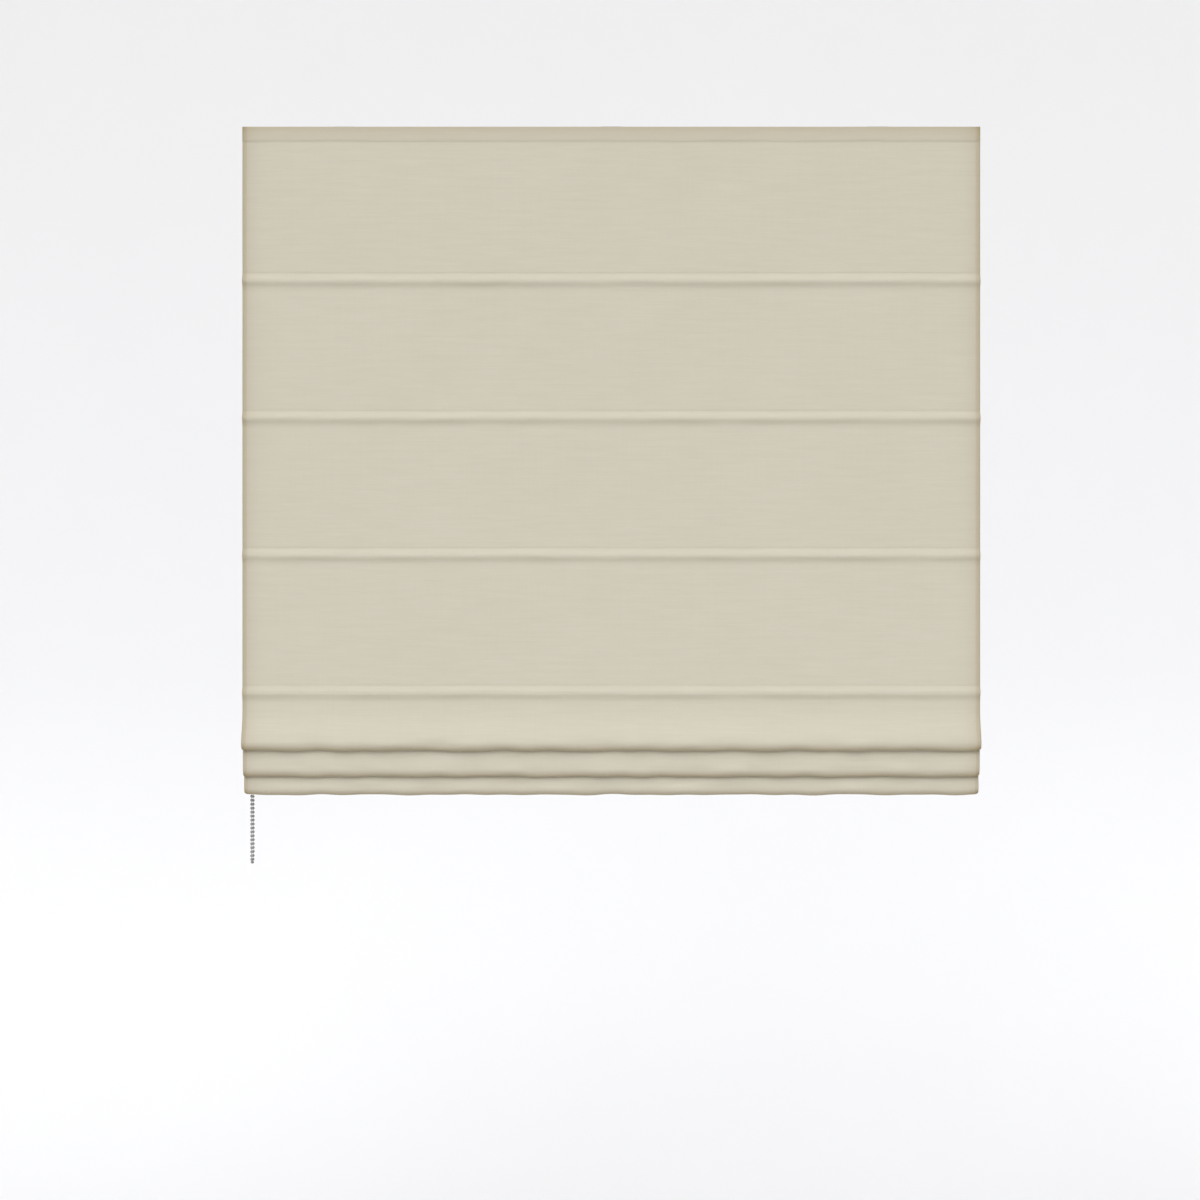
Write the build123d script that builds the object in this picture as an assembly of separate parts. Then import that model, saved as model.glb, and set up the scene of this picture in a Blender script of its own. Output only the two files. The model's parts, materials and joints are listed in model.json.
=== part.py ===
from build123d import *
import os
from math import pi, radians, tan

# A cord-lifted roman blind, partly raised: four stitched ridges on the hanging field, three folds of cloth
# gathered under them, and a bead chain that turns the lifting shaft in the headrail.
# Millimetres. X runs along the blind, +Y to the window, +Z up. The origin is the middle of the bracket
# screw line on the soffit, so the whole blind hangs below Z = 0.

os.makedirs("parts", exist_ok=True)

# ---------------------------------------------------------------- driving dimensions
fabric_width = 1106.0
fabric_thickness = 1.0
fabric_top_z = -1.5
rib_pitch = 206.0            # cloth from one rib to the next
first_rib_depth = 230.0      # top of the cloth to the first rib
field_ribs = 4               # ribs on the hanging field
stack_ribs = 2               # ribs gathered below them
first_stack_step = 22.5      # height from the last rib on the field to the first gathered one
stack_rib_step = 24.0        # and between gathered ribs

rail_inset = 1.0             # end of the headrail inside the edge of the cloth
headrail_depth = 46.0
rail_wall = 1.2
rail_lip = 5.0
end_piece = 13.0             # length of each end piece outside the channel
spigot_length = 14.0         # length of each end piece inside the channel
end_wall = 1.6

bracket_thickness = 1.2
bracket_width = 30.0
bracket_spacing = 400.0
bracket_count = 3
screw_hole_radius = 2.25

tape_height = 20.0
hook_tape_thickness = 1.7
loop_tape_thickness = 1.8

shaft_flats = 6.0            # hexagon across flats
spool_core_radius = 7.0
spool_flange_radius = 10.0
spool_core_length = 28.0
spool_flange = 1.5
hub_radius = 5.0
cradle_wall = 2.6
cradle_floor = 2.0
spool_headroom = 1.9         # between the spool flanges and the bracket hooks
cord_diameter = 1.4
cord_inset = 113.0           # outer lift cords inside the edge of the cloth
cord_turns_length = 14.0     # cord wound on each spool
knot_radius = 1.6

bead_diameter = 4.5
wheel_pitch_radius = 9.55    # ten beads, 6 mm apart
wheel_pockets = 10
wheel_flange_radius = 12.5
wheel_groove_radius = 7.0
wheel_width = 8.2
tooth_half = 0.6             # half thickness of the ribs between the wheel's pockets
tooth_rise = 0.5
wheel_inset = 6.0            # chain plane inside the end of the headrail
housing_drop = 2.0           # housing below the channel

rib_diameter = 4.5
rib_inset = 10.0             # rib ends inside the edge of the cloth
rib_setback = 4.0            # rib centre behind the back of the cloth
pocket_thickness = 0.5
pocket_inset = 3.0           # pocket ends inside the ends of the rib
ring_hole_radius = 2.5
ring_radius = 4.3
ring_height = 3.0
clip_wall = 1.4
clip_width = 8.0
cap_wall = 0.55
cap_end = 2.0
cap_grip = 2.0               # rod length inside each cap

bar_thickness = 3.4
bar_height = 22.0
bar_inset = 18.0             # ends of the bottom bar inside the edge of the cloth
bar_plug = 3.0
bar_pin_radius = 1.0
bar_pin_length = 8.0
anchor_thickness = 2.0
anchor_width = 12.0
anchor_leg = 14.0

apex_half = 1.7              # half the width of the cloth's turn under a gathered rib
fold_drops = [64.5, 103.5, 132.0]   # each fold's lowest line below the first gathered rib
hem_clearance = 0.9          # between the knots and the hem
cloth_gap = 0.2              # between a ring's clip and the cloth in front of it
arm_inset = 1.5              # ring arm inside each side of its clip
bar_drop = 21.3              # top of the bottom bar below the last rib
bar_edge = 1.5

ridge_out = 3.5              # how far each stitched ridge stands forward
ridge_rise = 16.0            # ridge height above its crest
ridge_fall = 5.0             # and below it

fit = 0.05                   # radial running fit
slack = 0.3                  # clearance round soft pieces

# ---------------------------------------------------------------- places worked out from them
half_rail = fabric_width / 2 - rail_inset
half_channel = half_rail - end_piece
rail_top = -bracket_thickness
lip_bottom = rail_top - rail_wall
hook_bottom = lip_bottom - bracket_thickness
axis_z = hook_bottom - spool_headroom - spool_flange_radius
floor_top = axis_z - spool_flange_radius - slack - cradle_floor
rail_bottom = floor_top - rail_wall
half_depth = headrail_depth / 2
inner_half = half_depth - rail_wall
wheel_x = -(half_rail - wheel_inset)
cord_x = fabric_width / 2 - cord_inset
cord_xs = [-cord_x, 0.0, cord_x]
side_names = ["left", "centre", "right"]
cord_y = -(spool_core_radius + cord_diameter / 2 + slack)
fabric_back = -(half_depth + hook_tape_thickness + loop_tape_thickness)
fabric_y = fabric_back - fabric_thickness / 2
crest_zs = [fabric_top_z - first_rib_depth - i * rib_pitch for i in range(field_ribs)]
rib_y = fabric_back + rib_setback
rib_length = fabric_width - 2 * rib_inset
pocket_length = rib_length - 2 * pocket_inset
bar_length = fabric_width - 2 * bar_inset
stack_zs = [crest_zs[-1] - first_stack_step - i * stack_rib_step for i in range(stack_ribs)]
pocket_inner = rib_diameter / 2 + 3 * fit
pocket_outer = pocket_inner + pocket_thickness
apex_gap = pocket_outer + slack + fabric_thickness / 2
clip_inner = pocket_outer + 2 * fit
clip_outer = clip_inner + clip_wall
loop_y = rib_y - clip_outer - cloth_gap - fabric_thickness / 2
fold_bottoms = [stack_zs[0] - drop for drop in fold_drops]
bar_top_z = stack_zs[-1] - bar_drop
hem_half = bar_thickness / 2 + slack + fabric_thickness / 2
bar_y = cord_y + knot_radius + hem_clearance + fabric_thickness / 2 + hem_half
hem_back_y = bar_y + hem_half
hem_front_y = bar_y - hem_half
hem_top_z = bar_top_z + slack + fabric_thickness / 2
anchor_z = hem_top_z + fabric_thickness / 2 + slack


def box(x0, x1, y0, y1, z0, z1):
    return Pos((x0 + x1) / 2, (y0 + y1) / 2, (z0 + z1) / 2) * Box(x1 - x0, y1 - y0, z1 - z0)


def rod(x0, x1, y, z, radius):
    """A round bar along X."""
    return Pos((x0 + x1) / 2, y, z) * Rot(0, 90, 0) * Cylinder(radius, x1 - x0)


def upright(x, y, z0, z1, radius):
    """A round bar along Z."""
    return Pos(x, y, (z0 + z1) / 2) * Cylinder(radius, z1 - z0)


def hexagon(x0, x1, y, z, flats):
    """A hexagonal bar along X, with a flat on top."""
    section = Plane.YZ.offset(x0) * Pos(y, z) * RegularPolygon(flats / 2, 6, major_radius=False)
    return extrude(section, x1 - x0)


def save(shape, name):
    export_step(shape, f"parts/{name}.step")


def group(solids, name):
    """Several separate solids in one node."""
    save(Compound(children=list(solids)), name)


# ---------------------------------------------------------------- headrail and brackets
def headrail():
    outer = box(-half_channel, half_channel, -half_depth, half_depth, rail_bottom, rail_top)
    hollow = box(-half_channel, half_channel, -inner_half, inner_half, floor_top, lip_bottom)
    mouth_half = inner_half - rail_lip
    mouth = box(-half_channel, half_channel, -mouth_half, mouth_half, lip_bottom, rail_top)
    channel = outer - hollow - mouth
    for x in cord_xs:
        channel -= upright(x, cord_y, rail_bottom, floor_top, cord_diameter * 2)
    return channel


def bracket(x):
    leg_y = inner_half - rail_lip - slack
    left, right = x - bracket_width / 2, x + bracket_width / 2
    plate = box(left, right, -half_depth, half_depth, rail_top, 0)
    plate -= upright(x, 0, rail_top, 0, screw_hole_radius)
    for side in (-1, 1):
        near, far = sorted((side * (leg_y - bracket_thickness), side * leg_y))
        plate += box(left, right, near, far, hook_bottom, rail_top)
        near, far = sorted((side * (leg_y - bracket_thickness), side * (leg_y + rail_lip * 0.7)))
        plate += box(left, right, near, far, hook_bottom, lip_bottom)
    return plate


def tapes():
    top = fabric_top_z - 0.5
    hook_back = -half_depth
    hook_front = hook_back - hook_tape_thickness
    hook = box(-half_channel, half_channel, hook_front, hook_back, top - tape_height, top)
    loop = box(-half_channel, half_channel, hook_front - loop_tape_thickness, hook_front, top - tape_height, top)
    return hook, loop


def end_spigot(inner_end, outer_end):
    """The part of an end piece that plugs into the channel, clear of the lips."""
    x0, x1 = sorted((inner_end, outer_end))
    wide = inner_half - 2 * fit
    return box(x0, x1, -wide, wide, floor_top + fit, lip_bottom - fit)


# ---------------------------------------------------------------- chain drive
def drive_housing():
    outer = -half_rail + end_wall
    inner = -half_channel
    shell = box(outer, inner, -half_depth, half_depth, rail_bottom - housing_drop, rail_top)
    shell += end_spigot(inner, inner + spigot_length)
    cavity_radius = wheel_flange_radius + slack
    shell -= rod(outer, wheel_x + wheel_width / 2 + slack, 0, axis_z, cavity_radius)
    shell -= rod(outer, inner + spigot_length, 0, axis_z, hub_radius + fit)
    for side in (-1, 1):
        y = side * wheel_pitch_radius
        shell -= upright(wheel_x, y, rail_bottom - housing_drop, axis_z, bead_diameter / 2 + 4 * slack)
    return shell


def drive_cover():
    cover = box(-half_rail, -half_rail + end_wall, -half_depth, half_depth, rail_bottom - housing_drop, rail_top)
    return fillet(cover.faces().sort_by(Axis.X)[0].edges(), end_wall / 2)


def chain_wheel():
    left, right = wheel_x - wheel_width / 2, wheel_x + wheel_width / 2
    groove_half = bead_diameter / 2 + slack
    wheel = rod(left, right, 0, axis_z, wheel_flange_radius)
    groove = rod(wheel_x - groove_half, wheel_x + groove_half, 0, axis_z, 2 * wheel_flange_radius)
    groove -= rod(left, right, 0, axis_z, wheel_groove_radius - slack)
    wheel -= groove
    for i in range(wheel_pockets):
        spoke = Pos(wheel_x, 0, axis_z) * Rot(360 / wheel_pockets * (i + 0.5), 0, 0)
        root = wheel_groove_radius - 2 * slack
        wheel += spoke * box(-groove_half, groove_half, -tooth_half, tooth_half, root, root + tooth_rise)
    wheel += rod(right, -half_channel + spigot_length, 0, axis_z, hub_radius)
    wheel -= hexagon(left, -half_channel + spigot_length, 0, axis_z, shaft_flats + 2 * fit)
    return wheel


def chain_wrap():
    """The beads that lie over the top of the wheel, as half a ring in its groove."""
    tube = Pos(wheel_x, 0, axis_z) * Rot(0, 90, 0) * Torus(wheel_pitch_radius, bead_diameter / 2)
    reach = 2 * wheel_pitch_radius
    return tube & box(wheel_x - reach, wheel_x + reach, -reach, reach, axis_z, axis_z + reach)


# The hanging loop of chain, from the front of the wheel to its back. It leans back past the gathered cloth.
chain_route = [
    (-wheel_pitch_radius, axis_z),
    (-wheel_pitch_radius, -45.0),
    (16.6, -930.0),
    (16.4, -1020.0),
    (15.9, -1075.0),
    (15.2, -1111.75),
    (33.4, -1111.75),
    (32.7, -1075.0),
    (32.2, -1020.0),
    (32.0, -930.0),
    (wheel_pitch_radius, -45.0),
    (wheel_pitch_radius, axis_z),
]


def corner_radii(points):
    """The largest arc that each corner's two runs allow."""
    radii = []
    for before, here, after in zip(points, points[1:], points[2:]):
        run_in, run_out = here - before, after - here
        half_turn = radians(run_in.get_angle(run_out)) / 2
        radii.append(0.45 * min(run_in.length, run_out.length) / tan(half_turn))
    return radii


def bead_chain():
    points = [Vector(wheel_x, y, z) for y, z in chain_route]
    radii = corner_radii(points)
    print("chain radii", [round(r, 1) for r in radii])
    route = FilletPolyline(*points, radius=radii)
    section = Plane(origin=points[0], z_dir=points[1] - points[0]) * Circle(bead_diameter / 2)
    tube = sweep(section, path=route)
    expected = route.length * pi * (bead_diameter / 2) ** 2
    print("chain length", round(route.length, 1), "volume ratio", round(tube.volume / expected, 5))
    return tube


def chain_connector():
    """The safety joiner, a short sleeve on the rear strand."""
    low, high = Vector(wheel_x, *chain_route[-3]), Vector(wheel_x, *chain_route[-2])
    along = (high - low).normalized()
    place = Plane(origin=low + along * 300, z_dir=along)
    sleeve = place * Cylinder(bead_diameter / 2 + 1.2, 14)
    return sleeve - place * Cylinder(bead_diameter / 2 + fit, 14)


# ---------------------------------------------------------------- shaft, spools and cords
def drive_shaft():
    left = wheel_x - wheel_width / 2
    right = half_channel + end_piece - end_wall - slack
    return hexagon(left, right, 0, axis_z, shaft_flats)


def shaft_journal():
    """The round sleeve that carries the right end of the shaft in its end cap."""
    left = half_channel - spigot_length
    right = half_channel + end_piece - end_wall - slack
    return rod(left, right, 0, axis_z, hub_radius) - hexagon(left, right, 0, axis_z, shaft_flats + 2 * fit)


def end_cap_right():
    cap = box(half_channel, half_rail, -half_depth, half_depth, rail_bottom, rail_top)
    cap = fillet(cap.faces().sort_by(Axis.X)[-1].edges(), end_wall / 2)
    cap += end_spigot(half_channel, half_channel - spigot_length)
    return cap - rod(half_channel - spigot_length, half_rail - end_wall, 0, axis_z, hub_radius + fit)


def spool(x):
    half_core = spool_core_length / 2
    half_body = half_core + spool_flange
    half_hub = half_body + slack + cradle_wall
    body = rod(x - half_body, x + half_body, 0, axis_z, spool_flange_radius)
    groove = rod(x - half_core, x + half_core, 0, axis_z, 2 * spool_flange_radius)
    body -= groove - rod(x - half_core, x + half_core, 0, axis_z, spool_core_radius)
    body += rod(x - half_hub, x + half_hub, 0, axis_z, hub_radius)
    return body - hexagon(x - half_hub, x + half_hub, 0, axis_z, shaft_flats + 2 * fit)


def spool_cradle(x):
    cheek_in = spool_core_length / 2 + spool_flange + slack
    cheek_out = cheek_in + cradle_wall
    wide = inner_half - 2 * fit
    base_top = axis_z - spool_flange_radius - slack
    cradle = box(x - cheek_out, x + cheek_out, -wide, wide, floor_top, base_top)
    for near, far in ((-cheek_out, -cheek_in), (cheek_in, cheek_out)):
        cheek = box(x + near, x + far, -wide, wide, floor_top, axis_z)
        cheek += rod(x + near, x + far, 0, axis_z, spool_flange_radius)
        cradle += cheek - rod(x + near, x + far, 0, axis_z, hub_radius + fit)
    return cradle - upright(x, cord_y, floor_top, base_top, cord_diameter * 2)


def cord_winding(x):
    """The turns of cord that lie side by side on a spool, beside the hanging cord."""
    left = x + cord_diameter / 2 + slack
    right = min(left + cord_turns_length, x + spool_core_length / 2 - slack)
    sleeve = rod(left, right, 0, axis_z, spool_core_radius + cord_diameter)
    return sleeve - rod(left, right, 0, axis_z, spool_core_radius)


# ---------------------------------------------------------------- cloth
def fabric_points():
    """The cloth's centre line in the YZ plane, with the radius of each corner."""
    points = [(fabric_y, fabric_top_z, 0)]
    for z in crest_zs:
        points.append((fabric_y, z + ridge_rise, 12.0))
        points.append((fabric_y - ridge_out, z, 1.2))
        points.append((fabric_y, z - ridge_fall, 4.0))
    first, second = stack_zs[0] - apex_gap, stack_zs[1] - apex_gap
    points += [
        (fabric_y - 16.5, first - 37.5, 30.0),
        (fabric_y - 17.0, fold_bottoms[0], 5.3),
        (fabric_y - 5.4, fold_bottoms[0], 5.3),
        (loop_y - 3.4, first - 13.0, 10.0),
        (rib_y - apex_half, first, 1.4),
        (rib_y + apex_half, first, 1.4),
        (loop_y, first - 14.0, 10.0),
        (loop_y, first - 49.0, 10.0),
        (fabric_y + 6.5, first - 69.0, 10.0),
        (fabric_y + 7.0, fold_bottoms[1], 5.6),
        (fabric_y + 19.5, fold_bottoms[1], 5.6),
        (fabric_y + 12.5, second - 25.3, 12.0),
        (rib_y - apex_half, second, 1.4),
        (rib_y + apex_half, second, 1.4),
        (fabric_y + 16.0, second - 25.3, 20.0),
        (fabric_y + 18.4, second - 53.5, 20.0),
        (fabric_y + 25.5, second - 82.0, 12.0),
        (fabric_y + 25.8, fold_bottoms[2], 5.3),
        (fabric_y + 37.5, fold_bottoms[2], 5.3),
        (fabric_y + 36.0, fold_bottoms[2] + 39.0, 12.0),
        (hem_back_y, bar_top_z - bar_height - 4.0, 8.0),
        (hem_back_y, hem_top_z, hem_half - 0.2),
        (hem_front_y, hem_top_z, hem_half - 0.2),
        (hem_front_y, bar_top_z - bar_height - 2.5, 0),
    ]
    return points


def face_fabric():
    points = fabric_points()
    corners = [Vector(0, y, z) for y, z, _ in points]
    path = FilletPolyline(*corners, radius=[r for _, _, r in points[1:-1]])
    print("cloth length", round(path.length, 1))
    section = Plane(origin=corners[0], x_dir=(1, 0, 0), z_dir=corners[1] - corners[0])
    return sweep(section * Rectangle(fabric_width, fabric_thickness), path=path)


# ---------------------------------------------------------------- ribs and what they carry
def rib_rod(z):
    return rod(-rib_length / 2, rib_length / 2, rib_y, z, rib_diameter / 2)


def rib_pocket(z, tab_turn, tab_reach):
    """The tape tube round a rib, and the sewn edge that joins it to the cloth."""
    half = pocket_length / 2
    tube = rod(-half, half, rib_y, z, pocket_outer)
    edge = Pos(0, rib_y, z) * Rot(tab_turn, 0, 0) * box(-half, half, -tab_reach, 0, -pocket_thickness, pocket_thickness)
    return tube + edge - rod(-half, half, rib_y, z, pocket_inner)


def rib_caps(z):
    caps = []
    for side in (-1, 1):
        end = side * rib_length / 2
        x0, x1 = sorted((end - side * cap_grip, end + side * cap_end))
        cap = rod(x0, x1, rib_y, z, rib_diameter / 2 + fit + cap_wall)
        g0, g1 = sorted((end - side * cap_grip, end + side * fit))
        caps.append(cap - rod(g0, g1, rib_y, z, rib_diameter / 2 + fit))
    return caps


def cord_ring(x, z, mouth_turn):
    """A moulded clip round the rib pocket, with an eye behind it that the lift cord runs through."""
    clip = rod(x - clip_width / 2, x + clip_width / 2, rib_y, z, clip_outer)
    low, high = z - ring_height / 2, z + ring_height / 2
    arm_half = clip_width / 2 - arm_inset
    clip += box(x - arm_half, x + arm_half, rib_y + clip_inner, cord_y - ring_hole_radius, low, high)
    clip += upright(x, cord_y, low, high, ring_radius)
    clip -= rod(x - clip_width, x + clip_width, rib_y, z, clip_inner)
    gap = 0.8 * clip_outer
    mouth = Pos(x, rib_y, z) * Rot(mouth_turn, 0, 0) * box(-clip_width, clip_width, -2 * clip_outer, 0, -gap, gap)
    return clip - mouth - upright(x, cord_y, low, high, ring_hole_radius)


def bottom_bar():
    half = bar_length / 2
    bar = box(-half, half, bar_y - bar_thickness / 2, bar_y + bar_thickness / 2, bar_top_z - bar_height, bar_top_z)
    bar = fillet(bar.edges().filter_by(Axis.X), bar_edge)
    for side in (-1, 1):
        x0, x1 = sorted((side * half, side * (half - bar_pin_length)))
        bar -= rod(x0, x1, bar_y, bar_top_z - bar_height / 2, bar_pin_radius + fit)
    return bar


def bar_plugs():
    plugs = []
    for side in (-1, 1):
        end = side * bar_length / 2
        x0, x1 = sorted((end, end + side * bar_plug))
        plug = box(x0, x1, bar_y - bar_thickness / 2, bar_y + bar_thickness / 2, bar_top_z - bar_height, bar_top_z)
        plug = fillet(plug.edges().filter_by(Axis.X), bar_edge)
        x0, x1 = sorted((end, end - side * (bar_pin_length - 1)))
        plugs.append(plug + rod(x0, x1, bar_y, bar_top_z - bar_height / 2, bar_pin_radius))
    return plugs


def cord_anchor(x):
    """A saddle on the top of the hem: the cord passes through its eye and ends in a knot below."""
    half = anchor_width / 2
    front = cord_y - ring_radius + 1
    back = hem_back_y + fabric_thickness / 2 + slack
    saddle = box(x - half, x + half, front, back + anchor_thickness, anchor_z, anchor_z + anchor_thickness)
    saddle += box(x - half, x + half, back, back + anchor_thickness, anchor_z - anchor_leg, anchor_z)
    return saddle - upright(x, cord_y, anchor_z, anchor_z + anchor_thickness, cord_diameter / 2 + slack)


def lift_cord(x):
    knot_z = anchor_z - knot_radius - fit
    return upright(x, cord_y, knot_z, axis_z, cord_diameter / 2) + Pos(x, cord_y, knot_z) * Sphere(knot_radius)


# ---------------------------------------------------------------- build every node
bracket_xs = [(i - (bracket_count - 1) / 2) * bracket_spacing for i in range(bracket_count)]
group((bracket(x) for x in bracket_xs), "brackets")
save(headrail(), "headrail")
hook_tape, loop_tape = tapes()
save(hook_tape, "hook_tape")
save(loop_tape, "loop_tape")
save(drive_housing(), "drive_housing")
save(drive_cover(), "drive_cover")
save(chain_wheel(), "chain_wheel")
save(chain_wrap(), "chain_wrap")
save(bead_chain(), "bead_chain")
save(chain_connector(), "chain_connector")
save(drive_shaft(), "drive_shaft")
save(shaft_journal(), "shaft_journal")
save(end_cap_right(), "end_cap_right")
for name, x in zip(side_names, cord_xs):
    save(spool(x), f"spool_{name}")
    save(spool_cradle(x), f"spool_cradle_{name}")
    save(cord_winding(x), f"cord_winding_{name}")
    save(lift_cord(x), f"lift_cord_{name}")
save(face_fabric(), "face_fabric")
for number, z in enumerate(crest_zs + stack_zs, start=1):
    gathered = number > field_ribs
    turn = 90 if gathered else 0
    reach = pocket_outer + slack - fit if gathered else rib_y - fabric_back + ridge_out - 2 * slack
    save(rib_rod(z), f"rib_{number}")
    save(rib_pocket(z, turn, reach), f"rib_pocket_{number}")
    group(rib_caps(z), f"rib_caps_{number}")
    group((cord_ring(x, z, turn) for x in cord_xs), f"cord_rings_{number}")
save(bottom_bar(), "bottom_bar")
group(bar_plugs(), "bar_plugs")
group((cord_anchor(x) for x in cord_xs), "cord_anchors")
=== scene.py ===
import json
from math import cos, pi, radians, sin

import bpy
import numpy as np
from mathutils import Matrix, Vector


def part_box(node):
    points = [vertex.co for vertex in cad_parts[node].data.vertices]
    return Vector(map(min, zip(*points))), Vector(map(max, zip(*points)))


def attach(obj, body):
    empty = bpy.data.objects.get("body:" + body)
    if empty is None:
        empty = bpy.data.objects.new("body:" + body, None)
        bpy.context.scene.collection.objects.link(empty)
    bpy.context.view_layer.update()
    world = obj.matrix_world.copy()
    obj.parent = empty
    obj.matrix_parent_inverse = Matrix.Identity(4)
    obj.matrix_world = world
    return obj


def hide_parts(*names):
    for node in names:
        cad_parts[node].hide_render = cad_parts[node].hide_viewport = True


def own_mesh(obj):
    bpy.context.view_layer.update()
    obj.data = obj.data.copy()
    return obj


bl_info = {
    "name": "Roman blind",
    "version": (1, 0, 0),
    "blender": (4, 5, 0),
    "location": "View3D > Sidebar > Roman blind",
    "description": "Cloth, stitching, cords, bead chain and finishes of a cord-lifted roman blind",
    "category": "Object",
}

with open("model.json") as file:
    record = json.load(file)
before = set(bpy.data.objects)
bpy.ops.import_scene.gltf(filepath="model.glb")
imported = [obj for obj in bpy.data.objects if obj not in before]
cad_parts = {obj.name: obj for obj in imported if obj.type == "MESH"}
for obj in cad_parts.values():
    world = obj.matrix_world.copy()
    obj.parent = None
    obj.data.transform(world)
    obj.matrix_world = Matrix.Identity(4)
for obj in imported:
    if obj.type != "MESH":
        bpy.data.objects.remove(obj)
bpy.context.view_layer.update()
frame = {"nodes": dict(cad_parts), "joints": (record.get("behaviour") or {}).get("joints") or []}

MM = 0.001
ROW = 1.9 * MM  # distance between the rows of the gathered cloth
ROOT, STACK, LIFT = "headrail_assembly", "fold_stack", "blind_lift"
FIELD_RIBS, STACK_RIBS = (1, 2, 3, 4), (5, 6)
SIDES = ("left", "centre", "right")


# ---------------------------------------------------------------- places read from the frame
def middle(node):
    """The centre of a node's box."""
    low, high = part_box(node)
    return (low + high) / 2


CLOTH_LOW, CLOTH_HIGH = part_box("face_fabric")
HALF_WIDTH = CLOTH_HIGH.x
CLOTH_TOP = CLOTH_HIGH.z
CRESTS = [middle(f"rib_{n}").z for n in FIELD_RIBS]
RIB_Y = middle("rib_1").y
BAR_LOW, BAR_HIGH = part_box("bottom_bar")
TRAVEL = next(j["range_m"][1] for j in frame["joints"] if j["name"] == LIFT)


# ---------------------------------------------------------------- sizes and colours that a user may change
def length(name, text, default):
    """A property that holds a length in metres."""
    return bpy.props.FloatProperty(name=name, description=text, default=default, unit="LENGTH", precision=5)


def colour(name, text, default):
    """A property that holds a colour."""
    return bpy.props.FloatVectorProperty(name=name, description=text, default=default, subtype="COLOR",
                                         size=3, min=0.0, max=1.0)


class ClothSizes(bpy.types.PropertyGroup):
    """Sizes and colours of the cloth and its sewing"""

    thickness: length("Thickness", "Thickness of the lined cloth", 1.0 * MM)
    tape_depth: length("Tape depth", "Hook and loop tape between the headrail and the cloth", 3.5 * MM)
    ridge: length("Ridge", "How far each stitched ridge stands forward", 4.3 * MM)
    ridge_fall: length("Ridge fall", "Height below the crest where a ridge falls back fastest", 5.6 * MM)
    ridge_stitch: length("Ridge stitching", "Height of the stitch line above each crest", 11.0 * MM)
    header_drop: length("Header depth", "Depth of the doubled header below the top", 21.3 * MM)
    header_step: length("Header step", "How far the doubled header stands forward", 1.3 * MM)
    side_hem: length("Side hem", "Width of the hem turned back at each side", 25.0 * MM)
    edge_stitch: length("Edge stitching", "Distance of the side stitching from the edge", 5.0 * MM)
    fold_wave: length("Fold wave", "Height of the waves along the bottom of each fold", 1.5 * MM)
    thread_pitch: length("Thread pitch", "Distance between the threads of the plain weave", 0.9 * MM)
    stitch_pitch: length("Stitch pitch", "Distance from one stitch to the next", 4.0 * MM)
    stitch_length: length("Stitch length", "Length of thread that shows in each stitch", 3.0 * MM)
    # the two tones of the cloth's random streaks and slubs; the weave also puts a little painted highlight on the
    # raised threads and painted shade between them
    light: colour("Cloth, light", "Colour of the raised threads", (0.668, 0.632, 0.524))
    dark: colour("Cloth, dark", "Colour between the threads and in the streaks", (0.568, 0.528, 0.426))
    # painted shade: the colour the cloth darkens to near its edges and top, over the doubled hem and header, and under
    # the folds and ridges
    doubled: colour("Cloth, doubled", "Colour where no light comes through the hems", (0.368, 0.282, 0.142))
    thread: colour("Thread", "Colour of the sewing thread", (0.60, 0.55, 0.445))


class CordSizes(bpy.types.PropertyGroup):
    """Sizes and colours of the bead chain and the lift cords"""

    bead: length("Bead", "Diameter of the chain's beads", 4.5 * MM)
    bead_pitch: length("Bead pitch", "Distance from one bead to the next", 6.0 * MM)
    bead_cord: length("Bead cord", "Diameter of the cord between the beads", 1.1 * MM)
    lift_cord: length("Lift cord", "Diameter of the lift cords", 1.4 * MM)
    first_bead: length("First bead", "Distance of the first bead from the wheel", 4.35 * MM)
    bead_colour: colour("Bead colour", "Colour of the beads", (0.35, 0.35, 0.355))
    string_colour: colour("Bead cord colour", "Colour of the cord between the beads", (0.72, 0.72, 0.72))
    cord_colour: colour("Lift cord colour", "Colour of the braided cords", (0.80, 0.79, 0.75))


class FinishColours(bpy.types.PropertyGroup):
    """Colours of the hardware and the studio"""

    rail: colour("Headrail", "Powder coat on the headrail", (0.80, 0.80, 0.78))
    moulding: colour("Mouldings", "White moulded plastic", (0.82, 0.81, 0.79))
    rings: colour("Cord rings", "Milky plastic of the rings and anchors", (0.74, 0.76, 0.76))
    tape: colour("Tapes", "Woven tape of the rib pockets", (0.70, 0.68, 0.62))
    metal: colour("Bare metal", "Zinc plate and bare aluminium", (0.66, 0.67, 0.69))
    wall: colour("Studio", "Floor and backdrop", (0.885, 0.89, 0.905))


# ---------------------------------------------------------------- node trees
class Socket:
    """A node's output that Python sums can be written on. Each sum adds its Math node."""

    def __init__(self, nodes, socket):
        self.nodes = nodes
        self.socket = socket

    def out(self, name):
        """Another output of the same node."""
        return Socket(self.nodes, self.socket.node.outputs[name])

    def maths(self, operation, *values):
        """A Math node on sockets or numbers."""
        return self.nodes.add("ShaderNodeMath", {"operation": operation}, dict(enumerate(values)))

    def __add__(self, other):
        return self.maths("ADD", self, other)

    def __sub__(self, other):
        return self.maths("SUBTRACT", self, other)

    def __mul__(self, other):
        return self.maths("MULTIPLY", self, other)

    def __rsub__(self, other):
        return self.maths("SUBTRACT", other, self)

    __radd__, __rmul__ = __add__, __mul__

    def sine(self):
        return self.maths("SINE", self)

    def absolute(self):
        return self.maths("ABSOLUTE", self)

    def fading(self, reach):
        """One where the value is nothing, and less by a factor of e at each further reach."""
        return self.maths("EXPONENT", self * (-1 / reach))


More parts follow.
